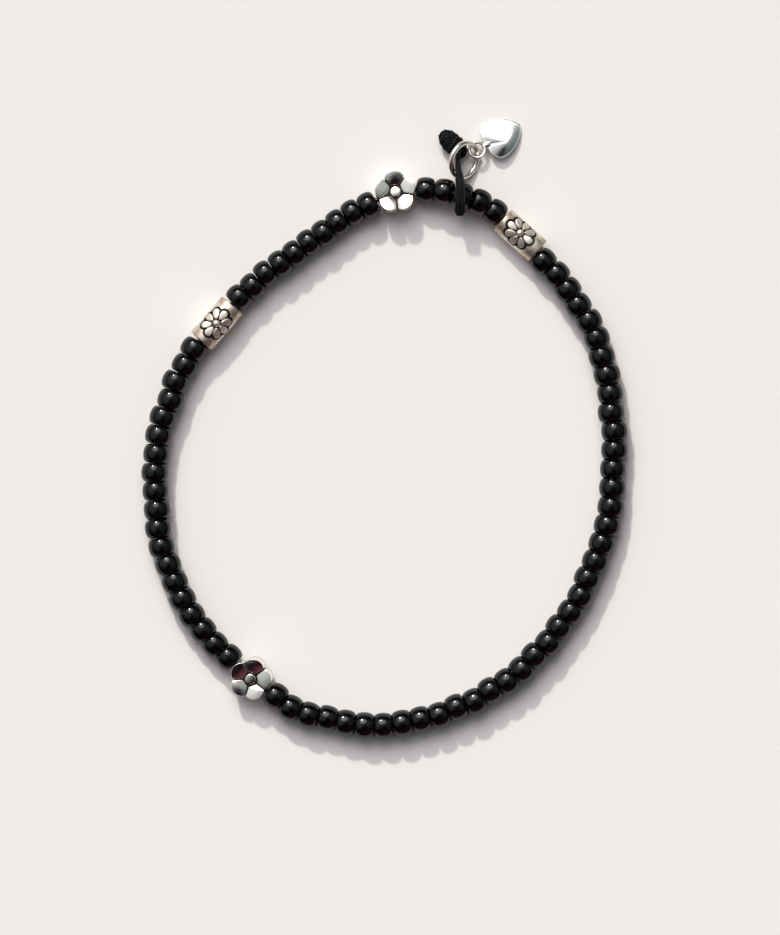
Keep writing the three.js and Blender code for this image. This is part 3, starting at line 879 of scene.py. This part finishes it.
def heart_outline():
    """The heart's outline as a closed curve, tip towards +X, with the eye at the origin."""
    def at(back, out):
        return Vector((HEART_TIP - back * HEART_LENGTH, out * HEART_HALF_WIDTH, 0))

    # Each corner of the curve: its place and the ends of its two handles.
    corners = [
        (at(0, 0), at(0.03, -0.38), at(0.03, 0.38)),
        (at(0.73, 1), at(0.39, 1), at(0.97, 1)),
        (at(HEART_CLEFT, 0), at(1.07, 0.4), at(1.07, -0.4)),
        (at(0.73, -1), at(0.97, -1), at(0.39, -1)),
    ]
    outline = bpy.data.curves.new("heart", "CURVE")
    outline.dimensions = "3D"
    outline.resolution_u = 20
    line = outline.splines.new("BEZIER")
    line.bezier_points.add(len(corners) - 1)
    line.use_cyclic_u = True
    for corner, (point, handle_in, handle_out) in zip(line.bezier_points, corners):
        corner.co = point
        corner.handle_left = handle_in
        corner.handle_right = handle_out
    made = bpy.data.objects.new("heart", outline)
    scene.collection.objects.link(made)
    select_only(made)
    bpy.ops.object.convert(target="MESH")
    return active_piece("heart")


def heart_body():
    """The outline drawn in ring by ring to a dome, smoothed, and closed with a flat back."""
    heart = heart_outline()
    edit_piece(heart, "VERT", lambda vertex: True)
    for edge in HEART_EDGE:
        bpy.ops.mesh.extrude_edges_move(TRANSFORM_OT_translate={"value": (0, 0, edge["rise"])})
        bpy.ops.transform.resize(
            value=(edge["drawn_in"], edge["drawn_in"], 1), center_override=HEART_BELLY)
    share = 1.0
    for ring in range(1, HEART_RINGS + 1):
        next_share = max(HEART_LAST_RING, 1 - ring / HEART_RINGS)
        rise = HEART_DOME * (share**HEART_FULLNESS - next_share**HEART_FULLNESS)
        bpy.ops.mesh.extrude_edges_move(TRANSFORM_OT_translate={"value": (0, 0, rise)})
        bpy.ops.transform.resize(
            value=(next_share / share, next_share / share, 1), center_override=HEART_BELLY)
        share = next_share
    bpy.ops.mesh.merge(type="COLLAPSE")
    end_edit()
    edit_piece(heart, "VERT", lambda vertex: vertex.co.z > HEART_EDGE[0]["rise"] + 0.001)
    bpy.ops.mesh.vertices_smooth(
        factor=0.5, repeat=HEART_SMOOTHING, xaxis=False, yaxis=False, zaxis=True)
    end_edit()
    edit_piece(heart, "EDGE", lambda edge: edge.is_boundary)
    for back in HEART_BACK:
        bpy.ops.mesh.extrude_edges_move(TRANSFORM_OT_translate={"value": (0, 0, -back["fall"])})
        bpy.ops.transform.resize(
            value=(back["drawn_in"], back["drawn_in"], 1), center_override=HEART_BELLY)
    bpy.ops.mesh.edge_face_add()
    bpy.ops.mesh.select_all(action="SELECT")
    bpy.ops.mesh.normals_make_consistent(inside=False)
    end_edit()
    return heart


heart = heart_body()
bpy.ops.mesh.primitive_torus_add(
    major_radius=EYE_RADIUS, minor_radius=EYE_WIRE, major_segments=64, minor_segments=16)
eye = active_piece("eye")
bpy.ops.mesh.primitive_uv_sphere_add(segments=32, ring_count=16, radius=1)
solder = active_piece("solder")
edit_piece(solder, "VERT", lambda vertex: True)
bpy.ops.transform.resize(value=SOLDER_SIZE)
bpy.ops.transform.translate(value=(EYE_RADIUS + SOLDER_BEYOND_EYE, 0, 0))
end_edit()
combine(heart, solder, "UNION")
combine(heart, eye, "UNION")
select_only(heart)
bpy.ops.object.shade_smooth_by_angle(angle=SHARP_FROM)
silver_heart = active_piece("silver_heart")
heart_place = charm_place @ Matrix.Translation(EYE_PLACE) @ HEART_TURN.to_matrix().to_4x4()
sheet_silver = polished_silver(
    "polished_silver_sheet", heart_place, "#f1efe6", smoothest=0.12, grooved=False)
set_in_place(silver_heart, heart_place, sheet_silver)
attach(silver_heart, "root")
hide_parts("heart_charm")

# --- Table and light ----------------------------------------------------------------------------
# The bracelet lies on a plain off-white table. A bright soft window stands behind it, a little to the
# left, with a small hard light in it. The rest of the room is dim, with something dark red in front.
TABLE_SIDE_M = 3.0
LIGHT_AZIMUTH = math.radians(18)
LIGHT_ELEVATION = math.radians(36.3)
LIGHT_WIDTH = math.radians(2.8)

bpy.ops.mesh.primitive_plane_add(size=TABLE_SIDE_M)
table = active_piece("table")
edit_piece(table, "FACE", lambda face: True)
bpy.ops.mesh.subdivide(number_cuts=1)
end_edit()
table_paint, tree, shader = new_material("matt_white_paint")
shader.inputs["Roughness"].default_value = 0.9
shader.inputs["Specular IOR Level"].default_value = 0.1
grain = add_node(tree, "ShaderNodeTexNoise", {}, {"Scale": 30, "Detail": 6.0})
paint = add_node(tree, "ShaderNodeMix", {"data_type": "RGBA"}, {
    "Factor": grain.outputs[0], 6: linear("#ece8e4"), 7: linear("#eae6e2")})
tree.links.new(paint.outputs[2], shader.inputs["Base Color"])
table.data.materials.append(table_paint)


def direction(azimuth, elevation):
    """A direction from the table, with azimuth counted from +Y towards -X."""
    flat = math.cos(elevation)
    return Vector((-math.sin(azimuth) * flat, math.cos(azimuth) * flat, math.sin(elevation)))


hard_light = bpy.data.objects.new("hard_light", bpy.data.lights.new("hard_light", "SUN"))
hard_light.data.energy = 1.88
hard_light.data.angle = LIGHT_WIDTH
hard_light.data.color = (0.955, 1.0, 0.925)
hard_light.rotation_euler = direction(LIGHT_AZIMUTH, LIGHT_ELEVATION).to_track_quat("Z", "Y").to_euler()
scene.collection.objects.link(hard_light)

# The room as light: where each patch is (azimuth, elevation), how far its middle reaches and how soft
# its edge is, all in degrees, and its glow, which adds to the others.
ROOM_GLOW = (0.01, 0.006, 0.009)
ROOM_PATCHES = [
    {"at": (14, 50), "half_width": 15, "edge": 13, "glow": (4.95, 4.62, 4.75)},
    {"at": (30, 50), "half_width": 24, "edge": 20, "glow": (0.22, 0.17, 0.24)},
    {"at": (66, 45), "half_width": 30, "edge": 22, "glow": (0.6, 0.68, 0.7)},
    {"at": (290, 45), "half_width": 28, "edge": 20, "glow": (0.19, 0.25, 0.27)},
    {"at": (330, 60), "half_width": 18, "edge": 14, "glow": (0.24, 0.24, 0.22)},
    {"at": (200, 12), "half_width": 30, "edge": 25, "glow": (0.16, 0.042, 0.066)},
]
room = bpy.data.worlds.new("room")
room.use_nodes = True
scene.world = room
tree = room.node_tree
background = tree.nodes["Background"]
where = add_node(tree, "ShaderNodeTexCoord", {}, {})
glow = add_node(tree, "ShaderNodeVectorMath", {"operation": "ADD"}, {0: ROOM_GLOW})
for patch in ROOM_PATCHES:
    facing = add_node(tree, "ShaderNodeVectorMath", {"operation": "DOT_PRODUCT"}, {
        0: where.outputs["Generated"], 1: direction(*map(math.radians, patch["at"]))})
    wide = math.radians(patch["half_width"])
    soft = math.radians(patch["edge"])
    inside = add_node(tree, "ShaderNodeMapRange", {"interpolation_type": "SMOOTHSTEP"}, {
        "Value": facing.outputs["Value"], "From Min": math.cos(wide + soft),
        "From Max": math.cos(wide - soft), "To Min": 0.0, "To Max": 1.0})
    glow = add_node(tree, "ShaderNodeVectorMath", {"operation": "MULTIPLY_ADD"}, {
        0: inside.outputs[0], 1: patch["glow"], 2: glow.outputs[0]})
tree.links.new(glow.outputs[0], background.inputs["Color"])

scene.view_settings.view_transform = "Standard"
scene.view_settings.look = "None"
